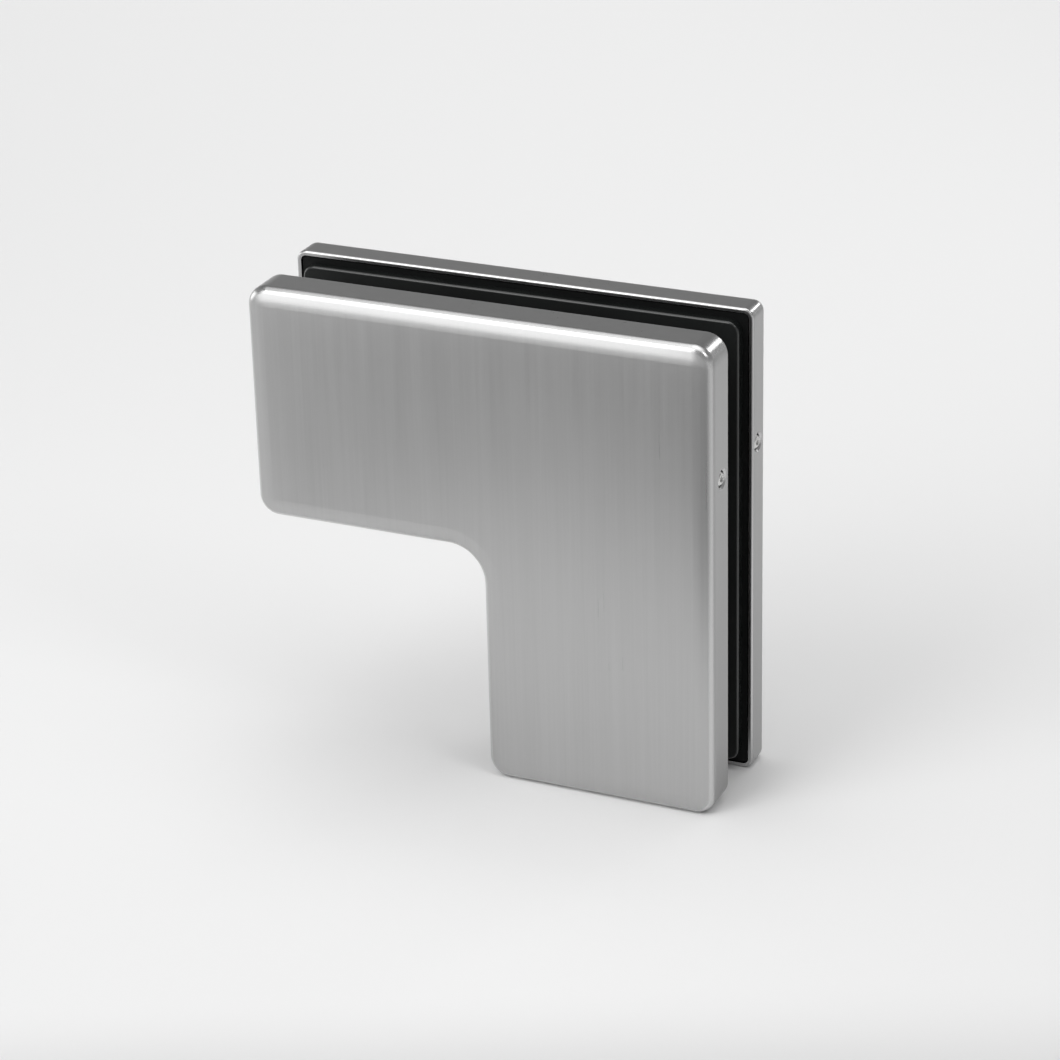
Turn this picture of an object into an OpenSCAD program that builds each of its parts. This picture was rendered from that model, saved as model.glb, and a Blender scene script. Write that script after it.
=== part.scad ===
// Glass panel connector: an L-shaped clamp that joins two panels of frameless glass at a corner.
// X runs along the upper arm, Z is up and Y runs through the glass, from the front cover to the rear one.
// The origin is in the middle of the width and of the thickness, at the foot of the upright arm.

/* [Outline] */
// Length of the upper arm, along X
width = 104; // [90:1:130]
// Length of the upright arm, along Z
height = 105; // [90:1:130]
// Height of the upper arm
upper_arm_h = 52; // [44:0.5:60]
// Width of the upright arm
upright_arm_w = 51.5; // [44:0.5:60]
// Radius of the front cover's outer corners
front_corner_r = 4.5; // [4.5:0.25:6]
// Radius of the rear cover's outer corners
rear_corner_r = 2.25; // [2.25:0.25:4]
// Radius of the inner corner, seen from the front
inner_r = 8; // [4:0.5:12]

/* [Glass] */
// Thickness of the glass that the clamp is set for
glass_t = 10; // [8:0.5:12]
// How far the clamp can still close, and as far again open
clamp_travel = 1.5; // [1:0.1:2]

/* [Covers] */
// Thickness of the drawn sheet
sheet_t = 1; // [0.8:0.1:1.2]
// Depth of the front cover, from rim to face
front_depth = 9.3; // [8.5:0.1:11]
// Depth of the rear cover, from rim to face
rear_depth = 7.2; // [7:0.1:9]
// Outer radius of the bend between a cover's wall and its face
edge_r = 1.8; // [1.5:0.1:1.8]
// Outer radius of the soft blend from the front cover's bend to its face
blend_r = 10; // [4:0.5:10]
// Radius of the covers' rims on the outside
rim_r = 0.5; // [0.2:0.1:0.7]
// Gap between a cover's wall and the clamp plate inside it
cover_gap = 0.3; // [0.2:0.05:0.35]

/* [Gaskets] */
// Thickness of a gasket
gasket_t = 2.4; // [2.3:0.1:2.7]
// How far a gasket stands proud of its cover's rim
gasket_proud = 2.1; // [1.8:0.1:2.2]
// Distance of a gasket's edge from the outside of the cover
gasket_inset = 2.5; // [2:0.1:3.2]
// Radius of a gasket's outer corners
gasket_r = 2.5; // [1.5:0.25:4]
// Radius of a gasket's edge towards the glass
gasket_edge_r = 0.5; // [0.2:0.1:1]

/* [Clamp bolts] */
// Thread diameter of the bolts
bolt_d = 6; // [5:1:8]
// Diameter of the countersunk head
head_d = 12; // [11:0.5:13]
// Straight edge of the head above its cone
head_edge = 0.3; // [0.2:0.1:0.5]
// Depth of the head below the plate's outer face
head_sink = 2.5; // [1:0.1:2.8]
// Width across flats of the bolt's socket
bolt_socket = 4; // [3:0.5:5]
// Depth of the bolt's socket
bolt_socket_depth = 2; // [1:0.1:2.5]
// Distance of the arm bolts from the arms' ends
bolt_end = 26; // [20:0.5:32]
// Distance of the bolts from the outer edges of the arms
bolt_edge = 26; // [20:0.5:32]
// Outer diameter of the bushes around the bolts
bush_d = 12; // [11:0.5:14]

/* [Cover screws] */
// Thread diameter of the set screws
screw_d = 3; // [2.5:0.5:3]
// Length of a set screw
screw_l = 6; // [5:0.5:8]
// Width across flats of the set screw's socket
screw_socket = 1.5; // [1:0.1:1.6]
// Depth of the set screw's socket
screw_socket_depth = 1.5; // [1:0.1:2]
// Height of the set screws below the connector's top
screw_drop = 30; // [16:0.5:40]
// How far a set screw is turned in to free its cover
screw_travel = 1.5; // [1.4:0.1:2.5]

/* [Hidden] */
$fn = 64;

// Clearances: a turning or threaded fit, a free gap, and the gap past a bolt's tip when the clamp is closed
fit = 0.05;
free_gap = 0.3;
tip_gap = 0.5;
// How far the shapes that make up one piece run into each other, and how far a cutter runs past what it cuts
overlap = 0.05;
run_out = 1;
// Chamfers on screw ends, and on the covers' screw holes
lead_in = 0.4;
hole_chamfer = 0.4;
// Depth of a set screw's end below the cover's wall
screw_sink = 0.1;

// Outline of the L: outer edges, edges of the notch under the upper arm, and the centre of its round corner
left = -width / 2;
right = width / 2;
notch_x = right - upright_arm_w;
notch_z = height - upper_arm_h;
notch_turn = [notch_x - inner_r, notch_z - inner_r];

// Depths from the glass's middle plane, which lies off the origin because the front cover is the deeper one
glass_y = (front_depth - rear_depth) / 2;
gasket_face = glass_t / 2;
plate_face = gasket_face + gasket_t;
rim = gasket_face + gasket_proud;
front_plate_back = rim + front_depth - sheet_t;
rear_plate_back = rim + rear_depth - sheet_t;

// Direction from the centre of a cover's bend to the bend's end. Where a soft blend follows, the bend ends
// short of the face, in whole parts of a 7-24-25 triangle so that bend and blend meet exactly
function bend_end(soft) = soft ? [-7, 24] / 25 : [0, 1];

// Width and height of a cover's rounded edge
function edge_w(soft) = edge_r - (blend_r - edge_r) * bend_end(soft).x;
function edge_h(soft) = edge_r + (blend_r - edge_r) * (1 - bend_end(soft).y);

// The set screws lie half way up the flat part of the walls
front_screw_depth = rim + (front_depth - edge_h(true)) / 2;
rear_screw_depth = rim + (rear_depth - edge_h(false)) / 2;

// The bolts' heads lie in the front plate, and their tips stop short of the rear cover when the clamp closes
head_top = front_plate_back - head_sink;
head_h = head_edge + (head_d - bolt_d) / 2;
bolt_tip = -(rear_plate_back - clamp_travel - tip_gap);
bush_end = -(plate_face - clamp_travel - free_gap);

UPPER_ARM_BOLT = [left + bolt_end, height - bolt_edge];
CORNER_BOLT = [right - bolt_edge, height - bolt_edge];
UPRIGHT_ARM_BOLT = [right - bolt_edge, bolt_end];
BOLTS = [UPPER_ARM_BOLT, CORNER_BOLT, UPRIGHT_ARM_BOLT];

// Straight runs of the outline, drawn in by an inset: start, direction, length and the turn at the end
function runs(inset, corner) = [
  [[notch_x + inset + corner, inset], 0, upright_arm_w - 2 * inset - 2 * corner, "out"],
  [[right - inset, inset + corner], 90, height - 2 * inset - 2 * corner, "out"],
  [[right - inset - corner, height - inset], 180, width - 2 * inset - 2 * corner, "out"],
  [[left + inset, height - inset - corner], 270, upper_arm_h - 2 * inset - 2 * corner, "out"],
  [[left + inset + corner, notch_z + inset], 0, notch_turn.x - left - inset - corner, "in"],
  [[notch_x + inset, notch_turn.y], 270, notch_turn.y - inset - corner, "out"]
];

// Sweeps a profile around the outline: x is the distance in from the inset outline, y the depth
module around_outline(inset, corner) {
  for (run = runs(inset, corner))
    translate(run[0]) rotate(run[1]) {
      rotate([90, 0, 90]) linear_extrude(run[2]) children();
      if (run[3] == "out")
        translate([run[2], corner]) rotate(-90)
          rotate_extrude(angle = 90) translate([corner, 0]) mirror([1, 0]) children();
      else
        translate([run[2], -inner_r - inset])
          rotate_extrude(angle = 90) translate([inner_r + inset, 0]) children();
    }
}

// The flat middle of the L, inside a band of the given width
module middle(band, from, to) {
  inset = band - overlap;
  translate([0, 0, from]) linear_extrude(to - from) difference() {
    polygon([
      [notch_x + inset, inset],
      [right - inset, inset],
      [right - inset, height - inset],
      [left + inset, height - inset],
      [left + inset, notch_z + inset],
      [notch_turn.x, notch_z + inset],
      notch_turn,
      [notch_x + inset, notch_turn.y]
    ]);
    translate(notch_turn) circle(inner_r + inset);
  }
}

// Turns the drawing plane upright: drawn depth becomes the distance in front of the glass's middle plane
module in_front() {
  translate([0, glass_y, 0]) rotate([90, 0, 0]) children();
}

module behind() {
  translate([0, glass_y, 0]) mirror([0, 1, 0]) rotate([90, 0, 0]) children();
}

// Places a cutter or screw on the right wall, drawn with its outer end at z = 0 and pointing in along -z
module at_right_wall(depth) {
  translate([right, height - screw_drop, depth]) rotate([0, 90, 0]) children();
}

module at_left_wall(depth) {
  mirror([1, 0, 0]) at_right_wall(depth) children();
}

module at_both_walls(depth) {
  at_right_wall(depth) children();
  at_left_wall(depth) children();
}

module strip(from, to, low, high) {
  polygon([[from, low], [to, low], [to, high], [from, high]]);
}

// A strip that starts at x = 0, with its lower corner there rounded
module round_strip(to, low, high, round_r) {
  centre = [round_r, low + round_r];
  polygon([[0, high], [0, centre.y], centre, [centre.x, low], [to, low], [to, high]]);
  translate(centre) intersection() {
    circle(round_r);
    translate([-round_r, -round_r]) square(round_r);
  }
}

// Sheet bent about the origin, from one direction to another
module bend(outer_r, from, to) {
  reach = 2 * outer_r;
  intersection() {
    difference() {
      circle(outer_r);
      circle(outer_r - sheet_t);
    }
    polygon([[0, 0], reach * from, reach * to]);
  }
}

// Section of the drawn sheet: wall, bend, soft blend and the start of the face
module sheet_profile(face, corner, soft) {
  wall_end = face - edge_h(soft);
  round_strip(sheet_t, rim, wall_end, rim_r);
  translate([edge_r, wall_end]) bend(edge_r, [-1, 0], bend_end(soft));
  if (soft)
    translate([edge_w(soft), face - blend_r]) bend(blend_r, bend_end(soft), [0, 1]);
  strip(edge_w(soft), corner, face - sheet_t, face);
}

module cover(depth, corner, soft, screw_depth) {
  face = rim + depth;
  hole_r = screw_d / 2 + free_gap;
  difference() {
    union() {
      around_outline(0, corner) sheet_profile(face, corner, soft);
      middle(corner, face - sheet_t, face);
    }
    at_both_walls(screw_depth) {
      translate([0, 0, -sheet_t - run_out]) cylinder(h = sheet_t + 2 * run_out, r = hole_r);
      translate([0, 0, -hole_chamfer])
        cylinder(h = 2 * hole_chamfer, r1 = hole_r, r2 = hole_r + 2 * hole_chamfer);
    }
  }
}

// Section of a clamp plate's edge, chamfered to clear the cover's rounded edge
module plate_profile(back, corner, soft) {
  edge = sheet_t + cover_gap;
  polygon([
    [edge, plate_face],
    [corner, plate_face],
    [corner, back],
    [edge_w(soft) + cover_gap, back],
    [edge, back - edge_h(soft) + sheet_t]
  ]);
}

module clamp_plate(back, corner, soft, screw_depth) {
  hole_l = screw_sink + screw_l + screw_travel + free_gap;
  difference() {
    union() {
      around_outline(0, corner) plate_profile(back, corner, soft);
      middle(corner, plate_face, back);
    }
    at_both_walls(screw_depth)
      translate([0, 0, -hole_l]) cylinder(h = hole_l, r = screw_d / 2 + fit);
  }
}

module gasket() {
  difference() {
    union() {
      around_outline(gasket_inset, gasket_r) round_strip(gasket_r, gasket_face, plate_face, gasket_edge_r);
      middle(gasket_inset + gasket_r, gasket_face, plate_face);
    }
    for (place = BOLTS)
      translate([place.x, place.y, gasket_face - run_out])
        cylinder(h = gasket_t + 2 * run_out, d = bush_d + 2 * free_gap);
  }
}

// The head's cone and straight edge, grown by a gap on every side for its seat
module bolt_head(gap, top) {
  cone_h = head_h - head_edge;
  translate([0, 0, head_top - head_h]) cylinder(h = cone_h, r1 = bolt_d / 2 + gap, r2 = head_d / 2 + gap);
  translate([0, 0, head_top - head_edge]) cylinder(h = top - head_top + head_edge, r = head_d / 2 + gap);
}

module clamp_bolt(place) {
  translate([place.x, place.y, 0]) difference() {
    union() {
      bolt_head(0, head_top);
      translate([0, 0, bolt_tip + lead_in]) cylinder(h = head_top - head_h - bolt_tip - lead_in, d = bolt_d);
      translate([0, 0, bolt_tip]) cylinder(h = lead_in, r1 = bolt_d / 2 - lead_in, r2 = bolt_d / 2);
    }
    translate([0, 0, head_top - bolt_socket_depth]) socket(bolt_socket, bolt_socket_depth + run_out);
  }
}

module socket(across_flats, depth) {
  cylinder(h = depth, d = across_flats / cos(30), $fn = 6);
}

module bush(place) {
  translate([place.x, place.y, bush_end]) difference() {
    cylinder(h = plate_face - bush_end, d = bush_d);
    translate([0, 0, -run_out])
      cylinder(h = plate_face - bush_end + 2 * run_out, d = bolt_d + 2 * free_gap);
  }
}

// A set screw that ends just below the cover's wall, with a chamfered end around its socket
module set_screw() {
  translate([0, 0, -screw_sink - screw_l]) difference() {
    union() {
      cylinder(h = screw_l - lead_in, d = screw_d);
      translate([0, 0, screw_l - lead_in])
        cylinder(h = lead_in, r1 = screw_d / 2, r2 = screw_d / 2 - lead_in);
    }
    translate([0, 0, screw_l - screw_socket_depth]) socket(screw_socket, screw_socket_depth + run_out);
  }
}

module front_cover() {
  color("#b9b8b4") in_front() cover(front_depth, front_corner_r, true, front_screw_depth);
}

module rear_cover() {
  color("#b9b8b4") behind() cover(rear_depth, rear_corner_r, false, rear_screw_depth);
}

module front_clamp_plate() {
  color("#1d1f1e") in_front() difference() {
    clamp_plate(front_plate_back, front_corner_r, true, front_screw_depth);
    for (place = BOLTS)
      translate([place.x, place.y, 0]) {
        bolt_head(2 * fit, front_plate_back + run_out);
        cylinder(h = front_plate_back, d = bolt_d + 2 * free_gap);
      }
  }
}

module rear_clamp_plate() {
  color("#1d1f1e") behind() difference() {
    clamp_plate(rear_plate_back, rear_corner_r, false, rear_screw_depth);
    for (place = BOLTS)
      translate([place.x, place.y, 0]) cylinder(h = rear_plate_back + run_out, d = bolt_d + 2 * fit);
  }
}

module front_gasket() {
  color("#121413") in_front() gasket();
}

module rear_gasket() {
  color("#121413") behind() gasket();
}

module upper_arm_bolt() {
  color("#8d9093") in_front() clamp_bolt(UPPER_ARM_BOLT);
}

module corner_bolt() {
  color("#8d9093") in_front() clamp_bolt(CORNER_BOLT);
}

module upright_arm_bolt() {
  color("#8d9093") in_front() clamp_bolt(UPRIGHT_ARM_BOLT);
}

module upper_arm_bush() {
  color("#e6e3da") in_front() bush(UPPER_ARM_BOLT);
}

module corner_bush() {
  color("#e6e3da") in_front() bush(CORNER_BOLT);
}

module upright_arm_bush() {
  color("#e6e3da") in_front() bush(UPRIGHT_ARM_BOLT);
}

module front_right_screw() {
  color("#9a9c9d") in_front() at_right_wall(front_screw_depth) set_screw();
}

module front_left_screw() {
  color("#9a9c9d") in_front() at_left_wall(front_screw_depth) set_screw();
}

module rear_right_screw() {
  color("#9a9c9d") behind() at_right_wall(rear_screw_depth) set_screw();
}

module rear_left_screw() {
  color("#9a9c9d") behind() at_left_wall(rear_screw_depth) set_screw();
}

front_cover();
rear_cover();
front_clamp_plate();
rear_clamp_plate();
front_gasket();
rear_gasket();
upper_arm_bolt();
corner_bolt();
upright_arm_bolt();
upper_arm_bush();
corner_bush();
upright_arm_bush();
front_right_screw();
front_left_screw();
rear_right_screw();
rear_left_screw();
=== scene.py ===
import contextlib
import math

import bpy
from mathutils import Matrix, Vector


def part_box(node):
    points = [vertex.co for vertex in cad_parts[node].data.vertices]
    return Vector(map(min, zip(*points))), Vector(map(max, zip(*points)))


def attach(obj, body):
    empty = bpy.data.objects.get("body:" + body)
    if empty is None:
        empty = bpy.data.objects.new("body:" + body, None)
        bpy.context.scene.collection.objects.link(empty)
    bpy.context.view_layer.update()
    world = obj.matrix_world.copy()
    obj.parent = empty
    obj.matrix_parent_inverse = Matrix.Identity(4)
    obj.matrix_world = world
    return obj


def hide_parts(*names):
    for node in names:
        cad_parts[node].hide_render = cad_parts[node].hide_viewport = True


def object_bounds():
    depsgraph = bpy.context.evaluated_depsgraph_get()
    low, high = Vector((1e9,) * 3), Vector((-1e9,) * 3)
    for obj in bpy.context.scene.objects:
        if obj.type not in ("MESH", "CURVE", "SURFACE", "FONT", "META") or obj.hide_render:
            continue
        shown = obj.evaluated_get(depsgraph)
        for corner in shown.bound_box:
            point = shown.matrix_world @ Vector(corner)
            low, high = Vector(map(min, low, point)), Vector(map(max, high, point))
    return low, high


bl_info = {
    "name": "Glass Panel Connector",
    "version": (1, 0, 0),
    "blender": (4, 5, 0),
    "location": "3D View > Sidebar > Connector",
    "description": "Finishes the parts of a glass corner connector and sets a plain studio around it",
    "category": "Object",
}

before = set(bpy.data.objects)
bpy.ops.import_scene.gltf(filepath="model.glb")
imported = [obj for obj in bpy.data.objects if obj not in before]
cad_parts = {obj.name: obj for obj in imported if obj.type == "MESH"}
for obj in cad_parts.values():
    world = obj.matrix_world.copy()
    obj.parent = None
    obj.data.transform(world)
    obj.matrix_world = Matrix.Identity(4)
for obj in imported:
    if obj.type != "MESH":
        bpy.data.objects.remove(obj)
CAD_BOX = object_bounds()
MM = 0.001
BLACK = (0.0, 0.0, 0.0)

COVERS = ("front_cover", "rear_cover")
CLAMP_PLATES = ("front_clamp_plate", "rear_clamp_plate")
GASKETS = ("front_gasket", "rear_gasket")
CLAMP_BOLTS = ("upper_arm_bolt", "corner_bolt", "upright_arm_bolt")
BUSHES = ("upper_arm_bush", "corner_bush", "upright_arm_bush")
# The way each screw's tip points along X
SET_SCREWS = {"front_right_screw": -1, "front_left_screw": 1, "rear_right_screw": -1, "rear_left_screw": 1}


class Wire:
    """A node's output socket, with arithmetic that adds Math nodes."""

    def __init__(self, finish, socket):
        self.finish = finish
        self.socket = socket

    def _math(self, operation, first, second):
        return self.finish.add("ShaderNodeMath", {"operation": operation}, {0: first, 1: second}).out("Value")

    def __add__(self, other):
        return self._math("ADD", self, other)

    def __radd__(self, other):
        return self._math("ADD", other, self)

    def __sub__(self, other):
        return self._math("SUBTRACT", self, other)

    def __rsub__(self, other):
        return self._math("SUBTRACT", other, self)

    def __mul__(self, other):
        return self._math("MULTIPLY", self, other)

    def __rmul__(self, other):
        return self._math("MULTIPLY", other, self)

    def swing(self, amount):
        """Noise around 0.5, made into a swing of the given amount around 0."""
        return (self - 0.5) * amount


class Node:
    """A shader node whose outputs are read as wires."""

    def __init__(self, finish, node):
        self.finish = finish
        self.node = node

    def out(self, name):
        return Wire(self.finish, self.node.outputs[name])


class Finish:
    """Builds the node tree of a material or of the world."""

    def __init__(self, tree):
        self.tree = tree
        tree.nodes.clear()

    def add(self, kind, settings=None, inputs=None):
        """Adds a node: its settings first, then the values or links of its sockets."""
        node = self.tree.nodes.new(kind)
        for name, value in (settings or {}).items():
            if name == "stops":
                self._set_stops(node.color_ramp, value)
            else:
                setattr(node, name, value)
        for name, value in (inputs or {}).items():
            if isinstance(value, Wire):
                self.tree.links.new(value.socket, node.inputs[name])
            else:
                node.inputs[name].default_value = value
        return Node(self, node)

    @staticmethod
    def _set_stops(ramp, stops):
        while len(ramp.elements) < len(stops):
            ramp.elements.new(1.0)
        for element, (place, level) in zip(ramp.elements, stops):
            element.position = place
            element.color = (level, level, level, 1.0)

    def place(self):
        """Object coordinates, in metres, in the row frame."""
        return self.add("ShaderNodeTexCoord").out("Object")

    def facing(self, axis):
        """Square of the surface's direction along an axis, 1 where it faces that way."""
        along = self.split(self.add("ShaderNodeNewGeometry").out("Normal")).out(axis)
        return along * along

    def noise(self, per_metre, detail=2.0, roughness=0.5):
        """Noise around 0.5, with its own number of grains per metre along each axis."""
        spread = self.add("ShaderNodeMapping", None, {"Vector": self.place(), "Scale": per_metre})
        return self.add(
            "ShaderNodeTexNoise",
            None,
            {"Vector": spread.out("Vector"), "Scale": 1.0, "Detail": detail, "Roughness": roughness},
        ).out("Fac")

    def cloud(self, per_metre, detail=3.0):
        """Noise with the same number of grains per metre along every axis."""
        return self.noise((per_metre, per_metre, per_metre), detail)

    def ramp(self, wire, start, end):
        """Rises smoothly from 0 at one value to 1 at another, which may be the smaller."""
        inputs = {"Value": wire, "From Min": start, "From Max": end}
        return self.add("ShaderNodeMapRange", {"interpolation_type": "SMOOTHSTEP"}, inputs).out("Result")

    def margin(self, distance, width):
        """Falls as a cube from 1 at an edge to 0 a width away from it."""
        inputs = {"Value": distance, "From Min": 0.0, "From Max": width, "To Min": 1.0, "To Max": 0.0}
        fall = self.add("ShaderNodeMapRange", None, inputs).out("Result")
        return fall * fall * fall

    def split(self, wire):
        """Splits a vector into X, Y and Z."""
        return self.add("ShaderNodeSeparateXYZ", None, {"Vector": wire})

    def levels(self, wire, stops):
        """Remaps a value through (place, level) stops."""
        return self.add("ShaderNodeValToRGB", {"stops": stops}, {"Fac": wire}).out("Color")

    def colour(self, factor, first, second):
        """Mixes two colours."""
        inputs = {0: factor, 6: (*first, 1.0), 7: (*second, 1.0)}
        return self.add("ShaderNodeMix", {"data_type": "RGBA"}, inputs).out(2)

    def tones(self, factor, colour, dark, light):
        """Mixes a darker and a lighter tone of one colour."""
        return self.colour(factor, [c * dark for c in colour], [c * light for c in colour])

    def bump(self, height, depth, normal=None):
        """Relief of the given depth in metres, on top of another one or by itself."""
        inputs = {"Height": height, "Distance": depth, "Strength": 1.0}
        if normal is not None:
            inputs["Normal"] = normal
        return self.add("ShaderNodeBump", None, inputs).out("Normal")

    def surface(self, **inputs):
        """A Principled surface, joined to the output."""
        named = {key.replace("_", " "): value for key, value in inputs.items()}
        shader = self.add("ShaderNodeBsdfPrincipled", None, named)
        self.add("ShaderNodeOutputMaterial", None, {"Surface": shader.out("BSDF")})


def new_material(name):
    material = bpy.data.materials.new(name)
    material.use_nodes = True
    return material, Finish(material.node_tree)


def dress(nodes, material):
    """Gives CAD nodes a material in their own slots."""
    for name in nodes:
        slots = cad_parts[name].material_slots
        if not slots:
            raise RuntimeError(f"{name} has no material slot")
        for slot in slots:
            slot.material = material


@contextlib.contextmanager
def edit_mode(context, piece):
    """Edits a piece by itself, with all of its mesh selected."""
    activate(context, piece)
    bpy.ops.object.mode_set(mode="EDIT")
    bpy.ops.mesh.select_all(action="SELECT")
    yield
    bpy.ops.object.mode_set(mode="OBJECT")


def activate(context, piece):
    bpy.ops.object.select_all(action="DESELECT")
    piece.select_set(True)
    context.view_layer.objects.active = piece


def face_outwards():
    bpy.ops.mesh.select_all(action="SELECT")
    bpy.ops.mesh.normals_make_consistent(inside=False)


class Thread:
    """A right-hand thread that is cut into a bolt or a set screw from its tip."""

    STEPS = 24  # in one turn
    GROOVE_RADIUS = 0.52  # of the circle around the groove's triangle, in pitches
    GROOVE_SINK = 0.02  # of that circle's middle below the surface, in pitches
    PLAIN_TIP = 0.6  # in pitches
    WELD = 0.001 * MM
    SMOOTH_BELOW = math.radians(30)

    def __init__(self, axis, diameter, pitch, length):
        self.axis = axis
        self.radius = diameter / 2
        self.pitch = pitch
        self.turns = round(length / pitch) - 1

    def cut(self, context, name, tip):
        """Replaces a node with a threaded copy. Its tip points along the axis (1) or against it (-1)."""
        piece = bpy.data.objects.new(f"{name}_threaded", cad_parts[name].data.copy())
        context.scene.collection.objects.link(piece)
        with edit_mode(context, piece):
            bpy.ops.mesh.remove_doubles(threshold=self.WELD)
            face_outwards()
        plain_faces = len(piece.data.polygons)
        groove = self.wind(context, self.start(name, tip), -tip)
        activate(context, piece)
        carve = piece.modifiers.new("thread", "BOOLEAN")
        carve.operation, carve.solver, carve.object = "DIFFERENCE", "EXACT", groove
        bpy.ops.object.modifier_apply(modifier=carve.name)
        bpy.data.objects.remove(groove)
        if len(piece.data.polygons) <= plain_faces:
            raise RuntimeError(f"{name} has no thread")
        bpy.ops.object.shade_smooth_by_angle(angle=self.SMOOTH_BELOW)
        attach(piece, name)
        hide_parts(name)

    def start(self, name, tip):
        """The place on the axis, a little inside the tip, where the groove starts."""
        low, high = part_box(name)
        start = (low + high) / 2
        along = "XYZ".index(self.axis)
        start[along] = (high if tip > 0 else low)[along] - self.PLAIN_TIP * tip * self.pitch
        return start

    def wind(self, context, start, way):
        """Winds a triangle, its point towards the axis, into a closed coil."""
        away = self.radius - self.GROOVE_SINK * self.pitch
        turn, offset = {"X": (0.0, (0.0, -away, 0.0)), "Y": (math.pi / 2, (away, 0.0, 0.0))}[self.axis]
        bpy.ops.mesh.primitive_circle_add(
            vertices=3,
            radius=self.GROOVE_RADIUS * self.pitch,
            fill_type="NOTHING",
            location=start,
            rotation=(0.0, 0.0, turn),
        )
        groove = context.object
        bpy.ops.object.transform_apply(location=False, rotation=True, scale=False)
        with edit_mode(context, groove):
            bpy.ops.transform.translate(value=offset)
        coil = groove.modifiers.new("coil", "SCREW")
        coil.axis, coil.iterations = self.axis, self.turns
        coil.screw_offset, coil.angle = way * self.pitch, way * 2 * math.pi
        coil.steps = coil.render_steps = self.STEPS
        bpy.ops.object.modifier_apply(modifier=coil.name)
        with edit_mode(context, groove):
            bpy.ops.mesh.fill_holes(sides=3)
            face_outwards()
        return groove


def colour_prop(name, description, default):
    return bpy.props.FloatVectorProperty(
        name=name, description=description, subtype="COLOR", size=3, min=0.0, max=1.0, default=default
    )


def share_prop(name, description, default):
    return bpy.props.FloatProperty(
        name=name, description=description, subtype="FACTOR", min=0.0, max=1.0, default=default
    )


def length_prop(name, description, default):
    return bpy.props.FloatProperty(
        name=name,
        description=description,
        unit="LENGTH",
        subtype="DISTANCE",
        min=0.0,
        precision=5,
        default=default,
    )


def angle_prop(name, description, degrees):
    return bpy.props.FloatProperty(
        name=name, description=description, unit="ROTATION", subtype="ANGLE", default=math.radians(degrees)
    )


def number_prop(name, description, default):
    return bpy.props.FloatProperty(name=name, description=description, default=default)


class ConnectorSteel(bpy.types.PropertyGroup):
    """Satin steel of the covers."""

    # The full colour is reached on bends and corners, where it carries a painted highlight; flats and walls
    # take a share of it
    colour: colour_prop("Steel", "Colour of the steel where it is rubbed bright", (0.8, 0.8, 0.8))
    face_share: share_prop("Face", "Share of that colour on the brushed faces", 0.6)
    # Walls take a smaller share of the colour than the face: painted shade on the walls
    painted_shade_wall_share: share_prop("Walls", "Share of that colour on the drawn walls", 0.46)
    roughness: share_prop("Roughness", "Roughness of the satin finish", 0.3)
    line_width: length_prop("Brush Line", "Width of a brush line", 0.45 * MM)
    line_length: length_prop("Brush Length", "Length of a brush line", 40 * MM)
    line_depth: length_prop("Brush Depth", "Depth of the brushed relief", 0.0015 * MM)
    crown: length_prop("Crown", "Fall of the front face towards its edges", 0.3 * MM)
    crown_width: length_prop("Crown Width", "Width of the margin that falls", 14 * MM)


class ConnectorBlacks(bpy.types.PropertyGroup):
    """Black plates and gaskets between the covers."""

    casting: colour_prop("Casting", "Colour of the coated clamp plates", (0.006, 0.0065, 0.0065))
    rubber: colour_prop("Rubber", "Colour of the gaskets", (0.007, 0.008, 0.0078))
    casting_grain: length_prop("Casting Grain", "Size of the casting's grain", 0.6 * MM)
    rubber_grain: length_prop("Rubber Grain", "Size of the gaskets' grain", 0.25 * MM)


class ConnectorHardware(bpy.types.PropertyGroup):
    """Screws, bolts and bushes."""

    screw: colour_prop("Set Screw", "Colour of the set screws", (0.7, 0.7, 0.69))
    bolt: colour_prop("Bolt", "Colour of the zinc plated bolts", (0.5, 0.51, 0.53))
    nylon: colour_prop("Bush", "Colour of the nylon bushes", (0.72, 0.7, 0.64))
    bolt_diameter: length_prop("Bolt Thread", "Outer diameter of the bolts' thread", 6 * MM)
    bolt_pitch: length_prop("Bolt Pitch", "Rise of the bolts' thread in one turn", 1 * MM)
    bolt_threaded: length_prop("Bolt Threaded", "Length of the bolts' thread from the tip", 12 * MM)
    screw_diameter: length_prop("Screw Thread", "Outer diameter of the set screws' thread", 3 * MM)
    screw_pitch: length_prop("Screw Pitch", "Rise of the set screws' thread in one turn", 0.5 * MM)
    screw_threaded: length_prop("Screw Threaded", "Length of the set screws' thread from the tip", 5 * MM)


class ConnectorStage(bpy.types.PropertyGroup):
    """Floor, lights and camera."""

    floor: colour_prop("Floor", "Colour of the floor", (0.83, 0.83, 0.83))
    reach: length_prop("Floor Reach", "Half the side of the floor", 1.0)
    shade: share_prop("Front Shade", "Share of the floor's colour that is lost in the front shade", 0.62)
    shade_turn: angle_prop("Shade Turn", "Turn of the floor's front shade about the upright axis", 25.0)
    azimuth: angle_prop("Azimuth", "Camera's turn to the right of the front", 24.94)
    elevation: angle_prop("Elevation", "Camera's height above the horizon", 24.26)
    roll: angle_prop("Roll", "Camera's tilt about its own axis", -1.63)
    distance: length_prop("Distance", "Camera's distance from the connector's middle", 0.730)
    lens: number_prop("Lens", "Focal length in millimetres", 117.0)
    shift_x: number_prop("Shift X", "Frame's shift to the right, as a share of its width", 0.0175)
    shift_y: number_prop("Shift Y", "Frame's shift upwards, as a share of its width", -0.006)


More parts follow.
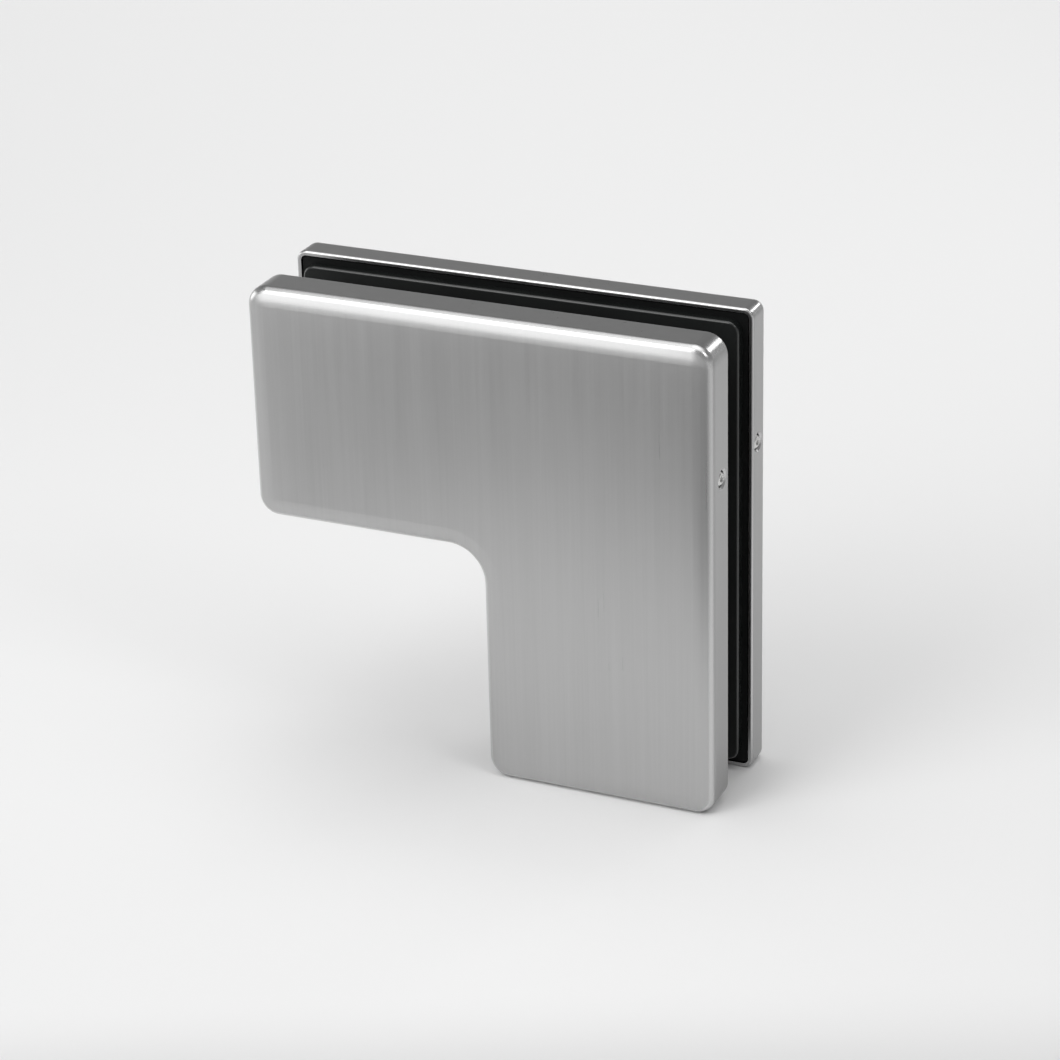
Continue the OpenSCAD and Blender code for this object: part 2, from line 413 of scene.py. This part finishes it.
class CONNECTOR_OT_covers(bpy.types.Operator):
    """Brushes the two steel covers along their height"""

    bl_idname = "connector.covers"
    bl_label = "Satin Covers"

    BAND_WIDTH, BAND_LENGTH = 5, 3  # in brush lines
    CLOUDS = 40.0  # per metre
    BENDS = (0.2, 0.5)  # where the smoothing and the painted highlight on bends start and are complete, from 0 on the flat to 2/3 on a corner
    RUBBED_LIGHT, RUBBED_SMOOTH = 0.2, 0.06
    BRUSHED_LIGHT, BRUSHED_ROUGH, CLOUD_ROUGH = 0.1, 0.12, 0.05
    LINE_RELIEF, BAND_RELIEF = 0.2, 0.8  # shares of the relief's depth
    CROWN_FROM, CROWN_TO = 0.0, -4 * MM  # along Y, so that only the front cover has a crown

    def execute(self, context):
        steel = context.scene.connector_steel
        material, finish = new_material("satin_steel")
        across, along = 1.0 / steel.line_width, 1.0 / steel.line_length
        lines = finish.noise((across, across, along))
        band_across, band_along = across / self.BAND_WIDTH, along / self.BAND_LENGTH
        bands = finish.noise((band_across, band_across, band_along))
        brushed = lines * 0.5 + bands * 0.5
        cloud = finish.cloud(self.CLOUDS)
        x2, y2, z2 = (finish.facing(axis) for axis in "XYZ")
        # Bends and corners: smoother steel, and a painted highlight in the base colour
        bend_polish_and_painted_highlight = finish.ramp(1 - (x2 * x2 + y2 * y2 + z2 * z2), *self.BENDS)
        # Painted shade: the walls get a smaller share of the colour than the face, set by the direction they
        # face
        share_with_painted_wall_shade = steel.painted_shade_wall_share + y2 * (steel.face_share - steel.painted_shade_wall_share)
        share = share_with_painted_wall_shade + bend_polish_and_painted_highlight * self.RUBBED_LIGHT + brushed.swing(self.BRUSHED_LIGHT)
        satin = steel.roughness - bend_polish_and_painted_highlight * self.RUBBED_SMOOTH
        relief = lines * self.LINE_RELIEF + bands * self.BAND_RELIEF
        finish.surface(
            Base_Color=finish.colour(share, BLACK, steel.colour),
            Metallic=1.0,
            Roughness=satin + brushed.swing(self.BRUSHED_ROUGH) + cloud.swing(self.CLOUD_ROUGH),
            Normal=finish.bump(relief, steel.line_depth, self.crowned(finish, steel)),
        )
        dress(COVERS, material)
        return {"FINISHED"}

    def crowned(self, finish, steel):
        """Normal of the front face, which falls a little towards its edges."""
        low, high = CAD_BOX
        place = finish.split(finish.place())
        margins = (place.out("X") - low.x, high.x - place.out("X"), high.z - place.out("Z"))
        fall = sum(finish.margin(distance, steel.crown_width) for distance in margins)
        front = finish.ramp(place.out("Y"), self.CROWN_FROM, self.CROWN_TO)
        return finish.bump(1 - fall * front, steel.crown)


class CONNECTOR_OT_clamp_plates(bpy.types.Operator):
    """Coats the cast clamp plates in black"""

    bl_idname = "connector.clamp_plates"
    bl_label = "Clamp Plates"

    CLOUDS = 120.0  # per metre
    TONES = (0.7, 1.4)
    ROUGHNESS, GRAIN_ROUGH = 0.55, 0.3
    GRAIN_DEPTH = 0.03 * MM

    def execute(self, context):
        blacks = context.scene.connector_blacks
        material, finish = new_material("black_casting")
        grain = finish.noise([1.0 / blacks.casting_grain] * 3, detail=4.0, roughness=0.6)
        cloud = finish.cloud(self.CLOUDS, detail=2.0)
        finish.surface(
            Base_Color=finish.tones(cloud, blacks.casting, *self.TONES),
            Roughness=self.ROUGHNESS + grain.swing(self.GRAIN_ROUGH),
            Specular_IOR_Level=0.15,
            Normal=finish.bump(grain, self.GRAIN_DEPTH),
        )
        dress(CLAMP_PLATES, material)
        return {"FINISHED"}


class CONNECTOR_OT_gaskets(bpy.types.Operator):
    """Gives the gaskets their rubber, smoother along the rounded edge"""

    bl_idname = "connector.gaskets"
    bl_label = "Gaskets"

    CLOUDS = 90.0  # per metre
    TONES = (0.7, 1.5)
    EDGE_ROUGH, FLAT_ROUGH = 0.26, 0.4
    GRAIN_ROUGH, CLOUD_ROUGH = 0.15, 0.1
    GRAIN_DEPTH = 0.005 * MM

    def execute(self, context):
        blacks = context.scene.connector_blacks
        material, finish = new_material("black_rubber")
        grain = finish.cloud(1.0 / blacks.rubber_grain, detail=2.0)
        cloud = finish.cloud(self.CLOUDS)
        flat = finish.facing("Y")
        matt = self.EDGE_ROUGH + flat * flat * flat * self.FLAT_ROUGH
        finish.surface(
            Base_Color=finish.tones(cloud, blacks.rubber, *self.TONES),
            Roughness=matt + grain.swing(self.GRAIN_ROUGH) + cloud.swing(self.CLOUD_ROUGH),
            Specular_IOR_Level=0.3,
            Coat_Weight=flat * (1 - flat) * 4,
            Coat_Roughness=0.15,
            Normal=finish.bump(grain, self.GRAIN_DEPTH),
        )
        dress(GASKETS, material)
        return {"FINISHED"}


class CONNECTOR_OT_bolts(bpy.types.Operator):
    """Threads the clamp bolts and plates them with zinc"""

    bl_idname = "connector.bolts"
    bl_label = "Clamp Bolts"

    TURNED = (400.0, 6000.0, 400.0)  # turning marks per metre
    CLOUDS = 500.0  # per metre
    TONES = (0.85, 1.1)
    ROUGHNESS, TURNED_ROUGH = 0.3, 0.2
    TURNED_DEPTH = 0.01 * MM

    def execute(self, context):
        hardware = context.scene.connector_hardware
        material, finish = new_material("bolt_steel")
        turned = finish.noise(self.TURNED)
        finish.surface(
            Base_Color=finish.tones(finish.cloud(self.CLOUDS), hardware.bolt, *self.TONES),
            Metallic=1.0,
            Roughness=self.ROUGHNESS + turned.swing(self.TURNED_ROUGH),
            Normal=finish.bump(turned, self.TURNED_DEPTH),
        )
        dress(CLAMP_BOLTS, material)
        thread = Thread("Y", hardware.bolt_diameter, hardware.bolt_pitch, hardware.bolt_threaded)
        for name in CLAMP_BOLTS:
            thread.cut(context, name, 1)
        return {"FINISHED"}


class CONNECTOR_OT_bushes(bpy.types.Operator):
    """Gives the bushes their nylon"""

    bl_idname = "connector.bushes"
    bl_label = "Bushes"

    TURNED = (300.0, 5000.0, 300.0)  # turning marks per metre
    CLOUDS = 250.0  # per metre
    TONES = (0.93, 1.05)
    ROUGHNESS, CLOUD_ROUGH = 0.4, 0.15
    TURNED_DEPTH = 0.01 * MM

    def execute(self, context):
        hardware = context.scene.connector_hardware
        material, finish = new_material("nylon")
        cloud = finish.cloud(self.CLOUDS)
        finish.surface(
            Base_Color=finish.tones(cloud, hardware.nylon, *self.TONES),
            Roughness=self.ROUGHNESS + cloud.swing(self.CLOUD_ROUGH),
            Subsurface_Weight=0.15,
            Subsurface_Scale=2 * MM,
            Normal=finish.bump(finish.noise(self.TURNED), self.TURNED_DEPTH),
        )
        dress(BUSHES, material)
        return {"FINISHED"}


class CONNECTOR_OT_set_screws(bpy.types.Operator):
    """Finishes and threads the set screws that hold the covers"""

    bl_idname = "connector.set_screws"
    bl_label = "Set Screws"

    CLOUDS = 900.0  # per metre
    TONES = (0.8, 1.15)
    ROUGHNESS, CLOUD_ROUGH = 0.22, 0.15
    CLOUD_DEPTH = 0.005 * MM

    def execute(self, context):
        hardware = context.scene.connector_hardware
        material, finish = new_material("screw_steel")
        cloud = finish.cloud(self.CLOUDS)
        finish.surface(
            Base_Color=finish.tones(cloud, hardware.screw, *self.TONES),
            Metallic=1.0,
            Roughness=self.ROUGHNESS + cloud.swing(self.CLOUD_ROUGH),
            Normal=finish.bump(cloud, self.CLOUD_DEPTH),
        )
        dress(SET_SCREWS, material)
        thread = Thread("X", hardware.screw_diameter, hardware.screw_pitch, hardware.screw_threaded)
        for name, tip in SET_SCREWS.items():
            thread.cut(context, name, tip)
        return {"FINISHED"}


class CONNECTOR_OT_stage(bpy.types.Operator):
    """Sets a pale floor, soft studio light and the camera"""

    bl_idname = "connector.stage"
    bl_label = "Studio"

    # name: (place, the place it faces, width, height, spread in degrees, strength)
    SOFTBOXES = {
        "key_softbox": ((-0.26, -0.49, 0.53), (0.0, 0.0, 0.10), 0.42, 0.60, 80, 0.68),
        "low_softbox": ((-0.54, -0.99, 0.20), (0.0, 0.0, 0.10), 0.83, 0.36, 110, 0.55),
        "corner_softbox": ((0.25, 0.49, 0.33), (0.0, 0.0, 0.10), 0.10, 0.10, 180, 5.0),
        "side_softbox": ((0.50, -0.20, 0.60), (0.05, 0.0, 0.10), 0.22, 0.22, 180, 3.5),
        "left_softbox": ((-1.03, -0.12, 0.22), (-0.05, 0.0, 0.09), 0.90, 0.42, 110, 0.5),
        "overhead_softbox": ((0.0, 0.2, 1.4), (0.0, 0.2, 0.0), 3.60, 3.60, 80, 0.42),
        "back_softbox": ((-0.35, 0.75, 1.2), (-0.35, 0.75, 0.0), 0.90, 0.90, 80, 0.47),
    }
    # (height, level), from 0 straight below to 1 straight above, with the horizon at 0.5
    SKY = ((0.0, 0.15), (0.5, 0.7), (0.56, 0.6), (0.65, 0.34), (0.75, 0.34), (1.0, 0.1))
    # Edges of the floor's shade in metres: where it starts and where it is full
    SHADE_FRONT = (-0.1, -0.18)
    SHADE_LEFT, SHADE_LEFT_FRONT = (-0.098, -0.16), (-0.03, -0.1)
    SHADE_LEFT_SHARE = 0.7
    SHADE_MIDDLE, SHADE_RADIUS = (-0.09, -0.19, 0.0), (0.4, 0.06)
    AIM_X, AIM_Y = 0.25 * MM, 0.65 * MM  # of the camera fitted to the photo

    def execute(self, context):
        self.add_floor(context)
        self.set_world(context)
        for name, softbox in self.SOFTBOXES.items():
            self.add_softbox(context, name, *softbox)
        self.add_camera(context)
        context.scene.view_settings.view_transform = "Standard"
        return {"FINISHED"}

    def add_floor(self, context):
        stage = context.scene.connector_stage
        bpy.ops.object.select_all(action="DESELECT")
        bpy.ops.mesh.primitive_plane_add(size=2 * stage.reach, location=(0.0, 0.0, CAD_BOX[0].z))
        floor = context.object
        floor.name = "floor"
        material, finish = new_material("pale_floor")
        finish.surface(
            Base_Color=finish.colour(self.unshaded(finish, stage), BLACK, stage.floor),
            Roughness=0.9,
            Specular_IOR_Level=0.0,
        )
        floor.data.materials.append(material)

    def unshaded(self, finish, stage):
        """Share of the floor's colour that is left, less where the front face mirrors the floor."""
        inputs = {"Vector": finish.place(), "Angle": -stage.shade_turn}
        place = finish.add("ShaderNodeVectorRotate", {"rotation_type": "Z_AXIS"}, inputs).out("Vector")
        apart = finish.split(place)
        side, depth = apart.out("X"), apart.out("Y")
        front = finish.ramp(depth, *self.SHADE_FRONT)
        left = finish.ramp(side, *self.SHADE_LEFT) * finish.ramp(depth, *self.SHADE_LEFT_FRONT)
        either = 1 - (1 - front) * (1 - left * self.SHADE_LEFT_SHARE)
        inputs = {0: place, 1: self.SHADE_MIDDLE}
        away = finish.add("ShaderNodeVectorMath", {"operation": "DISTANCE"}, inputs).out("Value")
        return 1 - either * finish.ramp(away, *self.SHADE_RADIUS) * stage.shade

    def set_world(self, context):
        world = bpy.data.worlds.new("studio")
        context.scene.world = world
        world.use_nodes = True
        sky = Finish(world.node_tree)
        apart = sky.split(sky.add("ShaderNodeTexCoord").out("Generated"))
        level = sky.levels(apart.out("Z") * 0.5 + 0.5, self.SKY)
        shine = sky.add("ShaderNodeBackground", None, {"Color": level, "Strength": 1.0})
        sky.add("ShaderNodeOutputWorld", None, {"Surface": shine.out("Background")})

    def add_softbox(self, context, name, place, aim, width, height, spread, strength):
        lamp = bpy.data.lights.new(name, "AREA")
        lamp.shape = "RECTANGLE"
        lamp.size, lamp.size_y = width, height
        lamp.spread = math.radians(spread)
        lamp.energy = strength * math.pi * width * height
        softbox = bpy.data.objects.new(name, lamp)
        softbox.location = place
        softbox.rotation_euler = (Vector(aim) - Vector(place)).to_track_quat("-Z", "Y").to_euler()
        softbox.visible_camera = False
        context.scene.collection.objects.link(softbox)

    def add_camera(self, context):
        stage = context.scene.connector_stage
        low, high = CAD_BOX
        turn, rise = stage.azimuth, stage.elevation
        back = Vector((math.sin(turn) * math.cos(rise), -math.cos(turn) * math.cos(rise), math.sin(rise)))
        right = Vector((math.cos(turn), math.sin(turn), 0.0))
        up = back.cross(right)
        across = right * math.cos(stage.roll) + up * math.sin(stage.roll)
        upright = back.cross(across)
        aim = Vector((self.AIM_X, self.AIM_Y, (low.z + high.z) / 2))
        data = bpy.data.cameras.new("photo_camera")
        data.lens = stage.lens
        data.shift_x, data.shift_y = stage.shift_x, stage.shift_y
        camera = bpy.data.objects.new("photo_camera", data)
        rotation = Matrix((across, upright, back)).transposed().to_4x4()
        camera.matrix_world = Matrix.Translation(aim + back * stage.distance) @ rotation
        context.scene.collection.objects.link(camera)
        context.scene.camera = camera


class CONNECTOR_PT_panel(bpy.types.Panel):
    """Lists the connector's finishing steps"""

    bl_idname = "CONNECTOR_PT_panel"
    bl_label = "Connector"
    bl_space_type = "VIEW_3D"
    bl_region_type = "UI"
    bl_category = "Connector"

    def draw(self, context):
        for operator in OPERATORS:
            self.layout.operator(operator.bl_idname)
        for name in PROPERTIES:
            group = getattr(context.scene, name)
            box = self.layout.box()
            box.label(text=group.bl_rna.description)
            for key in group.__annotations__:
                box.prop(group, key)


OPERATORS = (
    CONNECTOR_OT_covers,
    CONNECTOR_OT_clamp_plates,
    CONNECTOR_OT_gaskets,
    CONNECTOR_OT_bolts,
    CONNECTOR_OT_bushes,
    CONNECTOR_OT_set_screws,
    CONNECTOR_OT_stage,
)
PROPERTIES = {
    "connector_steel": ConnectorSteel,
    "connector_blacks": ConnectorBlacks,
    "connector_hardware": ConnectorHardware,
    "connector_stage": ConnectorStage,
}


def register():
    for cls in (*PROPERTIES.values(), *OPERATORS, CONNECTOR_PT_panel):
        bpy.utils.register_class(cls)
    for name, group in PROPERTIES.items():
        setattr(bpy.types.Scene, name, bpy.props.PointerProperty(type=group))


def unregister():
    for name in PROPERTIES:
        delattr(bpy.types.Scene, name)
    for cls in reversed((*PROPERTIES.values(), *OPERATORS, CONNECTOR_PT_panel)):
        bpy.utils.unregister_class(cls)


def main():
    register()
    bpy.ops.connector.covers()
    bpy.ops.connector.clamp_plates()
    bpy.ops.connector.gaskets()
    bpy.ops.connector.bolts()
    bpy.ops.connector.bushes()
    bpy.ops.connector.set_screws()
    bpy.ops.connector.stage()


if __name__ == "__main__":
    main()
